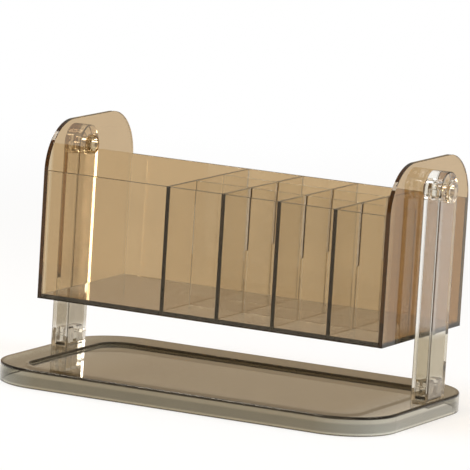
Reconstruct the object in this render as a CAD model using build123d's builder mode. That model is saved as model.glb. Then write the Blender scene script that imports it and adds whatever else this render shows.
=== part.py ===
from build123d import *
import os

# Rotating makeup organizer: a box of clear sheet that turns between two posts on a tray base.
# Millimetres, +Z up, +X to the right, -Y to the front.
# The origin is the middle of the base's underside.

os.makedirs("parts", exist_ok=True)

# Box
box_depth = 93.4
box_lift = 31.2
sheet = 2.0
end_sheet = 2.3
floor_sheet = 2.4
front_height = 67.5
end_corner_radius = 26.0
sheet_edge_radius = 0.2
weld_gap = 0.04

# Compartments
brush_bay_width = 69.1
column_width = 30.0
end_column_width = 28.3
column_divider_count = 3
row_count = 3
slot_clearance = 0.12
slot_depth_share = 0.5

# Pivot line and pins
pivot_rise = 76.8
end_crown = 15.7
pivot_gap = 0.6
pin_diameter = 7.0
pin_head_diameter = 12.2
pin_head_thickness = 2.0
pin_head_edge_radius = 0.6
running_clearance = 0.08
axial_play = 0.2
washer_diameter = 11.0
washer_thickness = 0.4
cap_diameter = 9.6
cap_thickness = 1.8
cap_socket_depth = 1.0
cap_edge_radius = 0.6

# Posts
post_thickness = 9.8
post_width = 20.4
post_wall = 2.0
post_edge_radius = 0.7
boss_wall = 2.0
cavity_rise = 1.2

# Post anchors
anchor_height = 10.3
anchor_fit = 0.15
anchor_flange_thickness = 1.8
anchor_lip = 1.4
anchor_slot_width = 3.6
anchor_slot_floor = 1.6
anchor_chamfer = 0.7
barb_radius = 0.7
barb_height = 6.6

# Base
base_height = 10.0
base_front_reach = 81.4
base_back_reach = 46.8
base_end_margin = 2.6
base_corner_radius = 30.0
base_wall = 1.9
base_plate = 1.6
base_edge_radius = 0.9
base_foot_radius = 0.5
tray_depth = 1.6
tray_side_rim = 18.0
tray_back_rim = 19.5
tray_front_rim = 11.0
tray_corner_radius = 13.0
tray_edge_radius = 0.4

# Shared overrun of all cuts
overrun = 1.0

# Length of the box, from its compartments
column_pitch = column_width + sheet
inner_length = brush_bay_width + sheet + column_divider_count * column_pitch + end_column_width
box_length = inner_length + 2 * end_sheet

# Places worked out from the sizes above
pivot_y = (base_front_reach - base_back_reach) / 2
box_bottom = base_height + box_lift
pivot_z = box_bottom + pivot_rise
end_height = pivot_rise + end_crown
box_front_y = pivot_y - box_depth / 2
box_back_y = pivot_y + box_depth / 2
post_inner_x = box_length / 2 + pivot_gap
post_middle_x = post_inner_x + post_thickness / 2
post_outer_x = post_inner_x + post_thickness
base_length = 2 * (post_outer_x + base_end_margin)
base_depth = base_front_reach + base_back_reach

# Clear space inside the box walls
inner_depth = box_depth - 2 * sheet
inner_left_x = -inner_length / 2
inner_right_x = inner_length / 2
inner_front_y = box_front_y + sheet
divider_bottom = box_bottom + floor_sheet + weld_gap
divider_height = box_bottom + front_height - divider_bottom
brush_divider_x = inner_left_x + brush_bay_width + sheet / 2
column_xs = [brush_divider_x + column_pitch * (step + 1) for step in range(column_divider_count)]
row_pitch = (inner_depth + sheet) / row_count
row_ys = [inner_front_y - sheet / 2 + row_pitch * step for step in range(1, row_count)]
slot_width = sheet + 2 * slot_clearance
slot_depth = divider_height * slot_depth_share + slot_clearance

# Space inside a post, and the anchor that fills its foot
cavity_thickness = post_thickness - 2 * post_wall
cavity_width = post_width - 2 * post_wall
cavity_top = pivot_z + cavity_rise
boss_radius = pin_diameter / 2 + running_clearance + boss_wall
anchor_thickness = cavity_thickness - 2 * anchor_fit
anchor_width = cavity_width - 2 * anchor_fit
anchor_top = base_height + anchor_height
post_foot = base_height + weld_gap
barb_z = base_height + barb_height
rim_underside = base_height - base_plate

# Recess in the top of the base
tray_length = base_length - 2 * tray_side_rim
tray_width = base_depth - tray_back_rim - tray_front_rim
tray_y = (tray_front_rim - tray_back_rim) / 2
tray_floor = base_height - tray_depth
tray_underside = tray_floor - base_plate


def side_plane(side, x):
    """Plane across the X axis on the pivot line, facing away from the middle, with local Y upright."""
    return Plane(origin=(side * x, pivot_y, pivot_z), x_dir=(0, side, 0), z_dir=(side, 0, 0))


def finish(builder, name):
    """Labels a finished piece and writes it to its own file."""
    builder.part.label = name
    export_step(builder.part, f"parts/{name}.step")


# Base: a shallow shell, open below, with a recessed tray in its top
with BuildPart() as base_tray:
    with BuildSketch():
        RectangleRounded(base_length, base_depth, base_corner_radius)
    extrude(amount=base_height)
    fillet(base_tray.faces().sort_by(Axis.Z)[-1].edges(), base_edge_radius)
    fillet(base_tray.faces().sort_by(Axis.Z)[0].edges(), base_foot_radius)
    with BuildSketch(Plane.XY.offset(-overrun)):
        RectangleRounded(
            base_length - 2 * base_wall, base_depth - 2 * base_wall, base_corner_radius - base_wall
        )
    extrude(amount=rim_underside + overrun, mode=Mode.SUBTRACT)
    with BuildSketch(Plane.XY.offset(tray_underside)):
        with Locations((0, tray_y)):
            RectangleRounded(
                tray_length + 2 * base_wall, tray_width + 2 * base_wall, tray_corner_radius + base_wall
            )
    extrude(amount=rim_underside - tray_underside)
    with BuildSketch(Plane.XY.offset(tray_floor)):
        with Locations((0, tray_y)):
            RectangleRounded(tray_length, tray_width, tray_corner_radius)
    extrude(amount=tray_depth + overrun, mode=Mode.SUBTRACT)
    tray_lip = base_tray.faces().filter_by(Axis.Z).sort_by(Axis.Z)[-1].inner_wires()[0]
    fillet(tray_lip.edges(), tray_edge_radius)
    with BuildSketch(Plane.XY.offset(rim_underside - overrun)):
        with Locations((-post_middle_x, pivot_y), (post_middle_x, pivot_y)):
            Rectangle(anchor_thickness + 2 * weld_gap, anchor_width + 2 * weld_gap)
    extrude(amount=base_plate + 2 * overrun, mode=Mode.SUBTRACT)
finish(base_tray, "base_tray")

for side_name, side in (("left", -1), ("right", 1)):
    # Post: a hollow upright with a round head, open at its foot, with a boss round the pin
    with BuildPart() as post:
        with BuildSketch(side_plane(side, post_inner_x)):
            Circle(post_width / 2)
            with Locations((0, (post_foot - pivot_z) / 2)):
                Rectangle(post_width, pivot_z - post_foot)
        extrude(amount=post_thickness)
        rim_edges = post.faces().filter_by(Axis.X).edges().group_by(Axis.Z)[1:]
        fillet([edge for group in rim_edges for edge in group], post_edge_radius)
        with BuildSketch(Plane.XY.offset(base_height - overrun)):
            with Locations((side * post_middle_x, pivot_y)):
                Rectangle(cavity_thickness, cavity_width)
        extrude(amount=cavity_top - base_height + overrun, mode=Mode.SUBTRACT)
        with BuildSketch(side_plane(side, post_inner_x + post_wall)):
            Circle(boss_radius)
        extrude(amount=cavity_thickness)
        with BuildSketch(side_plane(side, post_inner_x - overrun)):
            Circle(pin_diameter / 2 + running_clearance)
        extrude(amount=post_thickness + 2 * overrun, mode=Mode.SUBTRACT)
        with BuildSketch(side_plane(side, post_middle_x - cavity_thickness / 2)):
            with Locations((-anchor_width / 2, barb_z - pivot_z), (anchor_width / 2, barb_z - pivot_z)):
                Circle(barb_radius + anchor_fit)
        extrude(amount=cavity_thickness, mode=Mode.SUBTRACT)
    finish(post, f"{side_name}_post")

    # Anchor: pushed up through the base, it fills the post's foot with two barbed prongs
    with BuildPart() as anchor:
        with BuildSketch(Plane.XY.offset(rim_underside - weld_gap)):
            with Locations((side * post_middle_x, pivot_y)):
                Rectangle(anchor_thickness, anchor_width)
        extrude(amount=anchor_top - rim_underside + weld_gap)
        chamfer(anchor.faces().sort_by(Axis.Z)[-1].edges(), anchor_chamfer)
        with BuildSketch(side_plane(side, post_middle_x - anchor_thickness / 2)):
            with Locations((-anchor_width / 2, barb_z - pivot_z), (anchor_width / 2, barb_z - pivot_z)):
                Circle(barb_radius)
        extrude(amount=anchor_thickness)
        with BuildSketch(Plane.XY.offset(base_height + anchor_slot_floor)):
            with Locations((side * post_middle_x, pivot_y)):
                Rectangle(anchor_thickness + 2 * overrun, anchor_slot_width)
        extrude(amount=anchor_height + overrun, mode=Mode.SUBTRACT)
        with BuildSketch(Plane.XY.offset(rim_underside - weld_gap)):
            with Locations((side * post_middle_x, pivot_y)):
                Rectangle(anchor_thickness + 2 * anchor_lip, anchor_width + 2 * anchor_lip)
        extrude(amount=-anchor_flange_thickness)
    finish(anchor, f"{side_name}_post_anchor")

    # Pivot pin: headed outside the post, through it and through the end panel
    with BuildPart() as pin:
        with BuildSketch(side_plane(side, post_outer_x + axial_play)):
            Circle(pin_head_diameter / 2)
        extrude(amount=pin_head_thickness)
        fillet(pin.faces().sort_by(Axis.X)[-1 if side > 0 else 0].edges(), pin_head_edge_radius)
        with BuildSketch(side_plane(side, inner_right_x - cap_socket_depth)):
            Circle(pin_diameter / 2)
        extrude(amount=post_outer_x + axial_play - inner_right_x + cap_socket_depth)
    finish(pin, f"{side_name}_pivot_pin")

    # Washer: keeps the end panel off the post
    with BuildPart() as washer:
        with BuildSketch(side_plane(side, box_length / 2 + weld_gap)):
            Circle(washer_diameter / 2)
            Circle(pin_diameter / 2 + running_clearance, mode=Mode.SUBTRACT)
        extrude(amount=washer_thickness)
    finish(washer, f"{side_name}_pivot_washer")

    # Cap: closes the pin's end inside the box
    with BuildPart() as cap:
        with BuildSketch(side_plane(side, inner_right_x - weld_gap)):
            Circle(cap_diameter / 2)
        extrude(amount=-cap_thickness)
        fillet(cap.faces().sort_by(Axis.X)[0 if side > 0 else -1].edges(), cap_edge_radius)
        with BuildSketch(side_plane(side, inner_right_x)):
            Circle(pin_diameter / 2 + weld_gap)
        extrude(amount=-(cap_socket_depth + weld_gap), mode=Mode.SUBTRACT)
    finish(cap, f"{side_name}_pivot_cap")

    # End panel: taller than the front, with two round top corners and the pin's hole
    with BuildPart() as end_panel:
        with BuildSketch(side_plane(side, inner_right_x)) as end_outline:
            with Locations((0, box_bottom - pivot_z + end_height / 2)):
                Rectangle(box_depth, end_height)
            fillet(end_outline.vertices().group_by(Axis.Y)[-1], end_corner_radius)
        extrude(amount=end_sheet)
        fillet(end_panel.faces().filter_by(Axis.X).edges(), sheet_edge_radius)
        with BuildSketch(side_plane(side, inner_right_x - overrun)):
            Circle(pin_diameter / 2 + weld_gap)
        extrude(amount=end_sheet + 2 * overrun, mode=Mode.SUBTRACT)
    finish(end_panel, f"{side_name}_end_panel")

# Front and back panels: between the end panels, flush with their upright edges
for panel_name, middle_y in (
    ("front_panel", box_front_y + sheet / 2),
    ("back_panel", box_back_y - sheet / 2),
):
    with BuildPart() as panel:
        with BuildSketch(Plane.XY.offset(box_bottom)):
            with Locations((0, middle_y)):
                Rectangle(inner_length - 2 * weld_gap, sheet)
        extrude(amount=front_height)
        fillet(panel.edges().filter_by(Axis.X), sheet_edge_radius)
    finish(panel, panel_name)

# Floor: between the four walls
with BuildPart() as box_floor:
    with BuildSketch(Plane.XY.offset(box_bottom)):
        with Locations((0, pivot_y)):
            Rectangle(inner_length - 2 * weld_gap, inner_depth - 2 * weld_gap)
    extrude(amount=floor_sheet)
finish(box_floor, "box_floor")

# Brush divider: plain, from front to back
with BuildPart() as brush_divider:
    with BuildSketch(Plane.XY.offset(divider_bottom)):
        with Locations((brush_divider_x, pivot_y)):
            Rectangle(sheet, inner_depth - 2 * weld_gap)
    extrude(amount=divider_height)
    fillet(brush_divider.faces().sort_by(Axis.Z)[-1].edges().filter_by(Axis.Y), sheet_edge_radius)
finish(brush_divider, "brush_divider")

# Column dividers: from front to back, slotted from above for the row dividers
for number, column_x in enumerate(column_xs, start=1):
    with BuildPart() as column_divider:
        with BuildSketch(Plane.XY.offset(divider_bottom)):
            with Locations((column_x, pivot_y)):
                Rectangle(sheet, inner_depth - 2 * weld_gap)
        extrude(amount=divider_height)
        fillet(column_divider.faces().sort_by(Axis.Z)[-1].edges().filter_by(Axis.Y), sheet_edge_radius)
        with BuildSketch(Plane.XY.offset(divider_bottom + divider_height - slot_depth)):
            with Locations(*[(column_x, row_y) for row_y in row_ys]):
                Rectangle(sheet + 2 * overrun, slot_width)
        extrude(amount=slot_depth + overrun, mode=Mode.SUBTRACT)
    finish(column_divider, f"column_divider_{number}")

# Row dividers: from the brush divider to the right end panel, slotted from below
row_left_x = brush_divider_x + sheet / 2 + weld_gap
row_right_x = inner_right_x - weld_gap
for row_name, row_y in zip(("front", "rear"), row_ys):
    with BuildPart() as row_divider:
        with BuildSketch(Plane.XY.offset(divider_bottom)):
            with Locations(((row_left_x + row_right_x) / 2, row_y)):
                Rectangle(row_right_x - row_left_x, sheet)
        extrude(amount=divider_height)
        fillet(row_divider.faces().sort_by(Axis.Z)[-1].edges().filter_by(Axis.X), sheet_edge_radius)
        with BuildSketch(Plane.XY.offset(divider_bottom - overrun)):
            with Locations(*[(column_x, row_y) for column_x in column_xs]):
                Rectangle(slot_width, sheet + 2 * overrun)
        extrude(amount=slot_depth + overrun, mode=Mode.SUBTRACT)
    finish(row_divider, f"row_divider_{row_name}")
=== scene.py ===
import math

import bpy
from mathutils import Matrix, Vector


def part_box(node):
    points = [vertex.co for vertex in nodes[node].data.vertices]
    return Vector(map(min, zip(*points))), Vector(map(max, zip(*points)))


# Rotating makeup organizer: looks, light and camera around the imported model.
# Metres, +Z up, +X to the right, -Y to the front.

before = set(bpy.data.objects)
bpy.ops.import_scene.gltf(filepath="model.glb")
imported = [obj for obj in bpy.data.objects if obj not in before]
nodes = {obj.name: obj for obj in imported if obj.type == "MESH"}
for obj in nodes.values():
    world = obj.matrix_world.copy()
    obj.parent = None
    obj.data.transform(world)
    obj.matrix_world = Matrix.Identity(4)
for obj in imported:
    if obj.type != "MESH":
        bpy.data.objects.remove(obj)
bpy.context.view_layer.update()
scene = bpy.context.scene
MM = 0.001

# Places from the frame

base_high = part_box("base_tray")[1]
half_base, base_top = base_high[0], base_high[2]
plug_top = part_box("left_post_anchor")[1][2]
post_low, post_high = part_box("left_post")
end_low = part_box("right_end_panel")[0]
box_front, box_bottom = end_low[1], end_low[2]
divider_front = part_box("column_divider_1")[0][1]


# Node helpers

def new_tree(owner):
    """An empty node tree on a material or world."""
    owner.use_nodes = True
    tree = owner.node_tree
    tree.nodes.clear()
    return tree


def add(tree, kind, **values):
    """A node with plain values on its sockets, by socket name."""
    node = tree.nodes.new(kind)
    for key, value in values.items():
        node.inputs[key.replace("_", " ")].default_value = value
    return node


def maths(tree, operation, *values):
    """The output of a maths node on sockets or plain numbers."""
    node = tree.nodes.new("ShaderNodeMath")
    node.operation = operation
    for socket, value in zip(node.inputs, values):
        if isinstance(value, float):
            socket.default_value = value
        else:
            tree.links.new(value, socket)
    return node.outputs[0]


def set_stops(ramp, stops):
    """Fills a colour ramp with (place, colour) stops."""
    elements = ramp.color_ramp.elements
    while len(elements) < len(stops):
        elements.new(0.5)
    for element, (place, colour) in zip(elements, stops):
        element.position = place
        element.color = (*colour, 1.0)


# Clear plastic

CLEAR = (1.0, 1.0, 1.0)
ACRYLIC_IOR = 1.49
POLISHED = (0.0, 0.01)
SATIN = (0.2, 0.35)
HAZE_SCALE = 240.0
HAZE_LOW, HAZE_HIGH = 0.35, 0.75
CLOUD_SCALE = 35.0
CLOUD_LOW, CLOUD_HIGH = 0.3, 0.7
CLOUD_DEPTH = 0.96
RIPPLE_SCALE = 30.0
RIPPLE_STRENGTH = 0.008
RIPPLE_HEIGHT = 1.0 * MM
DENSITY_MARGIN = 1.1


def band_stops(bands):
    """Ramp stops for bands of (start, end, colour), which blend in the space between two bands."""
    return [(place, colour) for start, end, colour in bands for place in sorted({start, end})]


def along(axis, start, *bands):
    """A tint in bands of distance from a place on an axis."""
    return ("Object", axis, start, band_stops(bands))


def facing(axis, *bands):
    """Painted shade and highlight in bands of how far a face looks along an axis, from 0 across it to 1
    along it.
    """
    return ("Normal", axis, 0.0, band_stops(bands))


def clear_plastic(name, absorb, tint, warm=CLEAR, ior=ACRYLIC_IOR, rough=POLISHED, ramps=()):
    """Clear moulded or cut plastic: glass with absorption inside, slight waviness and a fine wiped haze.

    absorb is the absorption per metre in red, green and blue. warm tints the mirrored light.
    Each ramp, from along or facing, multiplies the tint.
    """
    material = bpy.data.materials.new(name)
    tree = new_tree(material)
    links = tree.links
    out = tree.nodes.new("ShaderNodeOutputMaterial")
    body = add(
        tree, "ShaderNodeBsdfPrincipled", Transmission_Weight=1.0, IOR=ior, Specular_Tint=(*warm, 1.0)
    )
    coords = tree.nodes.new("ShaderNodeTexCoord")

    haze = add(tree, "ShaderNodeTexNoise", Scale=HAZE_SCALE, Detail=4.0)
    links.new(coords.outputs["Object"], haze.inputs["Vector"])
    haze_range = add(
        tree, "ShaderNodeMapRange", From_Min=HAZE_LOW, From_Max=HAZE_HIGH, To_Min=rough[0], To_Max=rough[1]
    )
    links.new(haze.outputs["Fac"], haze_range.inputs["Value"])
    links.new(haze_range.outputs["Result"], body.inputs["Roughness"])

    cloud = add(tree, "ShaderNodeTexNoise", Scale=CLOUD_SCALE, Detail=2.0)
    links.new(coords.outputs["Object"], cloud.inputs["Vector"])
    ramp = tree.nodes.new("ShaderNodeValToRGB")
    set_stops(ramp, ((CLOUD_LOW, [c * CLOUD_DEPTH for c in tint]), (CLOUD_HIGH, tint)))
    links.new(cloud.outputs["Fac"], ramp.inputs["Fac"])
    shade = ramp.outputs["Color"]
    for source, axis, start, stops in ramps:
        reach = stops[-1][0]
        split = tree.nodes.new("ShaderNodeSeparateXYZ")
        links.new(coords.outputs[source], split.inputs["Vector"])
        away = maths(tree, "ABSOLUTE", maths(tree, "SUBTRACT", split.outputs[axis], start))
        place = add(tree, "ShaderNodeMapRange", From_Max=reach)
        links.new(away, place.inputs["Value"])
        scale = tree.nodes.new("ShaderNodeValToRGB")
        set_stops(scale, [(at / reach, level) for at, level in stops])
        links.new(place.outputs["Result"], scale.inputs["Fac"])
        times = tree.nodes.new("ShaderNodeMix")
        times.data_type = "RGBA"
        times.blend_type = "MULTIPLY"
        times.inputs["Factor"].default_value = 1.0
        links.new(shade, times.inputs["A"])
        links.new(scale.outputs["Color"], times.inputs["B"])
        shade = times.outputs["Result"]
    links.new(shade, body.inputs["Base Color"])

    ripple = add(tree, "ShaderNodeTexNoise", Scale=RIPPLE_SCALE, Detail=1.0)
    links.new(coords.outputs["Object"], ripple.inputs["Vector"])
    bump = add(tree, "ShaderNodeBump", Strength=RIPPLE_STRENGTH, Distance=RIPPLE_HEIGHT)
    links.new(ripple.outputs["Fac"], bump.inputs["Height"])
    links.new(bump.outputs["Normal"], body.inputs["Normal"])

    lamp_path = tree.nodes.new("ShaderNodeLightPath")
    through = [math.sqrt(c) for c in tint]
    pass_light = add(tree, "ShaderNodeBsdfTransparent", Color=(*through, 1.0))
    mix = tree.nodes.new("ShaderNodeMixShader")
    links.new(lamp_path.outputs["Is Shadow Ray"], mix.inputs["Fac"])
    links.new(body.outputs["BSDF"], mix.inputs[1])
    links.new(pass_light.outputs["BSDF"], mix.inputs[2])
    links.new(mix.outputs["Shader"], out.inputs["Surface"])

    density = max(absorb) * DENSITY_MARGIN
    inside_colour = [1.0 - a / density for a in absorb]
    inside = add(tree, "ShaderNodeVolumeAbsorption", Density=density, Color=(*inside_colour, 1.0))
    links.new(inside.outputs["Volume"], out.inputs["Volume"])
    return material


# Sheets of the box. Each colour set is the absorption per metre, the tint and, where given, the painted
# shade on the edges, which stands in for the darkness of sheets seen edge-on.

AMBER_GLINT = (1.0, 0.86, 0.66)
CLEAR_IOR = 1.3
NEARLY_CLEAR = ((22.0, 27.0, 36.0), (0.99, 0.985, 0.97))
BACK_AMBER = ((20.0, 30.0, 50.0), (0.57, 0.41, 0.23), (0.62, 0.68, 0.66))
END_AMBER = ((20.0, 30.0, 50.0), (0.72, 0.595, 0.42), (0.56, 0.6, 0.43))
FLOOR_AMBER = ((45.0, 60.0, 90.0), (0.68, 0.59, 0.45), (0.05, 0.04, 0.025))
# Painted shade for the dark edges of sheets seen edge-on.
SHEET_EDGE_PAINTED_SHADE = (0.03, 0.022, 0.012)
INNER_EDGE_PAINTED_SHADE = (0.6, 0.55, 0.45)
END_SHARE = (0.79, 0.69, 0.55)
BOTTOM_PAINTED_SHADE = (0.07, 0.065, 0.055)
SHEET_REACH = 100.0 * MM


def sheet(name, axis, absorb, tint, edge_shade, ior=ACRYLIC_IOR, ramps=()):
    """Sheet whose broad faces look along an axis, with painted shade on its edges and fillets."""
    edge_shade_ramp = facing(axis, (0.0, 0.9, edge_shade), (0.99, 1.0, CLEAR))
    return clear_plastic(name, absorb, tint, AMBER_GLINT, ior=ior, ramps=(edge_shade_ramp, *ramps))


# Painted shade: a dark line along the column dividers' front edges.
front_edge_painted_shade = along("Y", divider_front, (0.0, 0.4 * MM, SHEET_EDGE_PAINTED_SHADE), (0.6 * MM, SHEET_REACH, CLEAR))
# Painted highlight: the end panels stay lighter along their front 5 mm.
end_front_painted_highlight = along("Y", box_front, (0.0, 4.7 * MM, CLEAR), (5.3 * MM, SHEET_REACH, END_SHARE))
# Painted shade: a dark line along the end panels' bottom edge.
end_bottom_painted_shade = along("Z", box_bottom, (0.0, 1.4 * MM, BOTTOM_PAINTED_SHADE), (1.8 * MM, SHEET_REACH, CLEAR))
front_sheet = sheet("front_sheet", "Y", *NEARLY_CLEAR, SHEET_EDGE_PAINTED_SHADE, CLEAR_IOR)
row_sheet = sheet("row_sheet", "Y", *NEARLY_CLEAR, INNER_EDGE_PAINTED_SHADE, CLEAR_IOR)
column_sheet = sheet("column_sheet", "X", *NEARLY_CLEAR, INNER_EDGE_PAINTED_SHADE, CLEAR_IOR, (front_edge_painted_shade,))
back_sheet = sheet("back_sheet", "Y", *BACK_AMBER)
end_sheet = sheet("end_sheet", "X", *END_AMBER, ramps=(end_front_painted_highlight, end_bottom_painted_shade))
floor_sheet = sheet("floor_sheet", "Z", *FLOOR_AMBER)

# Posts: nearly clear, darker in the foot. The left foot is darker, and its dark band ends lower than the
# right's: painted shade, with one plastic shaded differently on the two posts. Their corners carry painted
# shade as dark lines.

POST_CLEAR = ((3.0, 4.0, 6.0), (0.995, 0.993, 0.985))
POST_IOR = 1.36
POST_REACH = 150.0 * MM
PLUG = (0.82, 0.79, 0.735)
# Painted shade on the feet: the left one darker than the right.
LEFT_FOOT_PAINTED_SHADE = (0.605, 0.555, 0.465)
RIGHT_FOOT_PAINTED_SHADE = (0.675, 0.625, 0.52)
CORNER_PAINTED_SHADE = (0.14, 0.125, 0.1)
FOOT_FADE = 2.3 * MM
left_foot_top = box_bottom - 6.5 * MM
right_foot_top = box_bottom + 2.8 * MM


def post_look(name, foot_shade, foot_top):
    """A post's plastic, with painted shade on its foot above the plug and up to a height."""
    heights = along(
        "Z",
        0.0,
        (0.0, plug_top - 0.8 * MM, PLUG),
        (plug_top + 1.7 * MM, foot_top - FOOT_FADE, foot_shade),
        (foot_top + FOOT_FADE, POST_REACH, CLEAR),
    )
    # Painted shade: dark lines on the posts' rounded corners.
    corners = facing("X", (0.0, 0.08, CLEAR), (0.25, 0.9, CORNER_PAINTED_SHADE), (0.98, 1.0, CLEAR))
    return clear_plastic(name, *POST_CLEAR, ior=POST_IOR, ramps=(heights, corners))


left_post_plastic = post_look("left_post_plastic", LEFT_FOOT_PAINTED_SHADE, left_foot_top)
right_post_plastic = post_look("right_post_plastic", RIGHT_FOOT_PAINTED_SHADE, right_foot_top)

# Base: painted light makes it lighter towards its ends; painted shade and highlight lines run along the rim,
# the groove and the skirt's foot, and painted shade darkens the skirt.

BASE_TAUPE = ((40.0, 47.0, 58.0), (0.95, 0.94, 0.92))
MIDDLE_SHARE = (0.45, 0.395, 0.302)
NEAR_END_PAINTED_LIGHT = (0.58, 0.57, 0.52)
END_TIP_PAINTED_LIGHT = (0.85, 0.84, 0.8)
SKIRT_PAINTED_SHADE = (0.93, 0.95, 0.92)
SKIRT_FOOT_PAINTED_SHADE = (0.25, 0.24, 0.21)
SKIRT_MIDDLE_PAINTED_SHADE = (0.53, 0.535, 0.54)
SKIRT_TOP = (0.85, 0.85, 0.85)
RIM_PAINTED_SHADE = (0.12, 0.12, 0.115)
RIM_PAINTED_HIGHLIGHT = (0.8, 0.8, 0.78)
GROOVE_PAINTED_SHADE = (0.2, 0.21, 0.23)
# The base's own tint in the middle, with painted light growing towards its ends.
near_end = half_base - 11.0 * MM
base_tint_and_painted_end_light = along(
    "X",
    0.0,
    (0.0, half_base - 33.0 * MM, MIDDLE_SHARE),
    (near_end, near_end, NEAR_END_PAINTED_LIGHT),
    (half_base, half_base, END_TIP_PAINTED_LIGHT),
)
# Painted shade and highlight on sloped faces: dark and light lines along the rim's rounded edges, and a
# slight shade on the skirt's upright faces.
base_slope_shade_and_highlight = facing(
    "Z",
    (0.0, 0.15, SKIRT_PAINTED_SHADE),
    (0.3, 0.45, RIM_PAINTED_SHADE),
    (0.5, 0.68, RIM_PAINTED_HIGHLIGHT),
    (0.73, 0.9, RIM_PAINTED_SHADE),
    (0.98, 1.0, CLEAR),
)
# Painted shade and highlight by height: a dark line and a pale line at the skirt's foot, a darker skirt
# middle, and a dark band at the groove.
base_height_shade_and_highlight = along(
    "Z",
    0.0,
    (0.0, 0.4 * MM, SKIRT_FOOT_PAINTED_SHADE),
    (0.6 * MM, 1.2 * MM, CLEAR),
    (1.7 * MM, base_top - 4.2 * MM, SKIRT_MIDDLE_PAINTED_SHADE),
    (base_top - 3.2 * MM, base_top - 1.5 * MM, SKIRT_TOP),
    (base_top - 1.3 * MM, base_top - 0.4 * MM, GROOVE_PAINTED_SHADE),
    (base_top - 0.1 * MM, base_top + 2.0 * MM, SKIRT_TOP),
)
base_plastic = clear_plastic(
    "base_plastic", *BASE_TAUPE, AMBER_GLINT, ramps=(base_tint_and_painted_end_light, base_slope_shade_and_highlight, base_height_shade_and_highlight)
)

# Small pieces

ANCHOR_CLEAR, ANCHOR_IOR = ((6.0, 7.0, 8.0), (0.93, 0.92, 0.89)), 1.4
PIN_CLEAR, PIN_IOR = ((8.0, 10.0, 15.0), (0.96, 0.94, 0.89)), 1.3
CAP_AMBER, CAP_IOR = ((60.0, 85.0, 140.0), (0.74, 0.64, 0.47)), 1.2
WASHER_CLEAR = ((8.0, 10.0, 15.0), (0.95, 0.93, 0.89))
anchor_plastic = clear_plastic("anchor_plastic", *ANCHOR_CLEAR, ior=ANCHOR_IOR)
pin_plastic = clear_plastic("pin_plastic", *PIN_CLEAR, ior=PIN_IOR)
cap_plastic = clear_plastic("cap_plastic", *CAP_AMBER, ior=CAP_IOR)
washer_plastic = clear_plastic("washer_plastic", *WASHER_CLEAR, rough=SATIN)

LOOKS = {
    "front_panel": front_sheet,
    "back_panel": back_sheet,
    "left_end_panel": end_sheet,
    "right_end_panel": end_sheet,
    "box_floor": floor_sheet,
    "brush_divider": column_sheet,
    "column_divider_1": column_sheet,
    "column_divider_2": column_sheet,
    "column_divider_3": column_sheet,
    "row_divider_front": row_sheet,
    "row_divider_rear": row_sheet,
    "base_tray": base_plastic,
    "left_post": left_post_plastic,
    "right_post": right_post_plastic,
    "left_post_anchor": anchor_plastic,
    "right_post_anchor": anchor_plastic,
    "left_pivot_pin": pin_plastic,
    "right_pivot_pin": pin_plastic,
    "left_pivot_cap": cap_plastic,
    "right_pivot_cap": cap_plastic,
    "left_pivot_washer": washer_plastic,
    "right_pivot_washer": washer_plastic,
}
for node_name, node in nodes.items():
    node.data.materials.clear()
    node.data.materials.append(LOOKS[node_name])

# Floor: white paint that keeps the shadow near the object and glows plain white far from it

FLOOR_REACH = 20.0
FLOOR_Z = -0.1 * MM
FLOOR_PAINT = (0.92, 0.92, 0.92)
GLOW_NEAR, GLOW_FAR = 0.25, 1.0
GLOW_LOW, GLOW_FULL = 0.5, 1.0
floor_mesh = bpy.data.meshes.new("floor")
corners = ((-1.0, -1.0), (1.0, -1.0), (1.0, 1.0), (-1.0, 1.0))
floor_mesh.from_pydata(
    [(x * FLOOR_REACH, y * FLOOR_REACH, FLOOR_Z) for x, y in corners], [], [tuple(range(len(corners)))]
)
floor = bpy.data.objects.new("floor", floor_mesh)
scene.collection.objects.link(floor)
floor_look = bpy.data.materials.new("floor_white")
tree = new_tree(floor_look)
out = tree.nodes.new("ShaderNodeOutputMaterial")
paint = add(tree, "ShaderNodeBsdfDiffuse", Color=(*FLOOR_PAINT, 1.0))
glow = add(tree, "ShaderNodeEmission", Strength=1.0)
path = tree.nodes.new("ShaderNodeLightPath").outputs
seen = maths(tree, "MAXIMUM", path["Is Camera Ray"], path["Is Transmission Ray"])
seen = maths(tree, "MAXIMUM", seen, path["Is Glossy Ray"])
coords = tree.nodes.new("ShaderNodeTexCoord")
distance = tree.nodes.new("ShaderNodeVectorMath")
distance.operation = "LENGTH"
tree.links.new(coords.outputs["Object"], distance.inputs[0])
spread = add(
    tree, "ShaderNodeMapRange", From_Min=GLOW_NEAR, From_Max=GLOW_FAR, To_Min=GLOW_LOW, To_Max=GLOW_FULL
)
spread.interpolation_type = "SMOOTHSTEP"
tree.links.new(distance.outputs["Value"], spread.inputs["Value"])
share = maths(tree, "MULTIPLY", seen, spread.outputs["Result"])
mix = tree.nodes.new("ShaderNodeMixShader")
tree.links.new(share, mix.inputs["Fac"])
tree.links.new(paint.outputs["BSDF"], mix.inputs[1])
tree.links.new(glow.outputs["Emission"], mix.inputs[2])
tree.links.new(mix.outputs["Shader"], out.inputs["Surface"])
floor_mesh.materials.append(floor_look)

# World: a white band at the horizon, a warm grey room above it, lighter overhead

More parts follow.
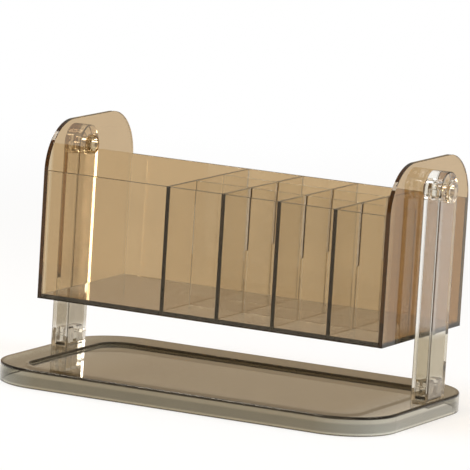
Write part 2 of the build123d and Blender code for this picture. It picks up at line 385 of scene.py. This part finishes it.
SKY = (
    (0.0, CLEAR),
    (0.05, CLEAR),
    (0.09, (0.52, 0.4, 0.26)),
    (0.35, (0.48, 0.4, 0.3)),
    (0.6, (0.5, 0.48, 0.45)),
    (1.0, (0.6, 0.6, 0.6)),
)
world = bpy.data.worlds.new("studio")
scene.world = world
tree = new_tree(world)
out = tree.nodes.new("ShaderNodeOutputWorld")
sky = tree.nodes.new("ShaderNodeBackground")
coords = tree.nodes.new("ShaderNodeTexCoord")
split = tree.nodes.new("ShaderNodeSeparateXYZ")
ramp = tree.nodes.new("ShaderNodeValToRGB")
set_stops(ramp, SKY)
tree.links.new(coords.outputs["Generated"], split.inputs["Vector"])
tree.links.new(split.outputs["Z"], ramp.inputs["Fac"])
tree.links.new(ramp.outputs["Color"], sky.inputs["Color"])
tree.links.new(sky.outputs["Background"], out.inputs["Surface"])


# Lamps

def softbox(name, place, target, width, height, power):
    """A rectangular lamp that faces a point."""
    lamp = bpy.data.lights.new(name, "AREA")
    lamp.shape = "RECTANGLE"
    lamp.size = width
    lamp.size_y = height
    lamp.energy = power
    holder = bpy.data.objects.new(name, lamp)
    holder.location = place
    holder.rotation_euler = (Vector(target) - Vector(place)).to_track_quat("-Z", "Y").to_euler()
    scene.collection.objects.link(holder)
    return holder


MIDDLE = (0.0, 0.0, 0.06)
softbox("top_left", (-0.55, -0.3, 1.15), MIDDLE, width=0.8, height=0.3, power=8.0)
softbox("top_right", (0.75, 0.25, 1.0), MIDDLE, width=0.5, height=0.6, power=5.0)

# A thin strip lamp gives the white stripe on the left post. From that post it lies in the direction that
# mirrors the camera's line of sight, and it lights that post alone.

AZIMUTH, ELEVATION, ROLL = (math.radians(a) for a in (26.78, 8.86, 3.47))
STRIP_WIDTH, STRIP_HEIGHT = 6.5 * MM, 95.0 * MM
STRIP_DISTANCE = 198.03 * MM
STRIP_POWER = 0.01556
mirrored = Vector((-math.sin(AZIMUTH), -math.cos(AZIMUTH), 0.0))
strip_target = Vector((post_low[0] - 5.57 * MM, post_high[1] - 1.66 * MM, STRIP_HEIGHT / 2))
strip_place = strip_target + mirrored * STRIP_DISTANCE
strip = softbox("side_strip", strip_place, strip_target, STRIP_WIDTH, STRIP_HEIGHT, STRIP_POWER)
strip_receivers = bpy.data.collections.new("side_strip_receivers")
strip_receivers.objects.link(nodes["left_post"])
strip.light_linking.receiver_collection = strip_receivers

# Camera at the photograph's viewing angle

DISTANCE = 2.830
FOCAL_PIXELS = 5480.0
IMAGE_PIXELS = 470.0
SENSOR_WIDTH = 36.0
CLIP_END = 100.0
TARGET = Vector((0.0, 0.0173, 0.19739))
SLIDE_RIGHT, SLIDE_UP = -0.01625, -0.11406
back = Vector(
    (
        math.sin(AZIMUTH) * math.cos(ELEVATION),
        -math.cos(AZIMUTH) * math.cos(ELEVATION),
        math.sin(ELEVATION),
    )
)
level_right = Vector((math.cos(AZIMUTH), math.sin(AZIMUTH), 0.0))
level_up = back.cross(level_right)
right = math.cos(ROLL) * level_right + math.sin(ROLL) * level_up
up = -math.sin(ROLL) * level_right + math.cos(ROLL) * level_up
place = TARGET + back * DISTANCE + right * SLIDE_RIGHT + up * SLIDE_UP
turn = Matrix((right, up, back)).transposed().to_4x4()
camera = bpy.data.cameras.new("camera")
camera.sensor_width = SENSOR_WIDTH
camera.lens = FOCAL_PIXELS * SENSOR_WIDTH / IMAGE_PIXELS
camera.clip_end = CLIP_END
holder = bpy.data.objects.new("camera", camera)
holder.matrix_world = Matrix.Translation(place) @ turn
scene.collection.objects.link(holder)
scene.camera = holder

scene.view_settings.view_transform = "Standard"
scene.cycles.max_bounces = 40
scene.cycles.transmission_bounces = 40
scene.cycles.glossy_bounces = 24
scene.cycles.transparent_max_bounces = 64
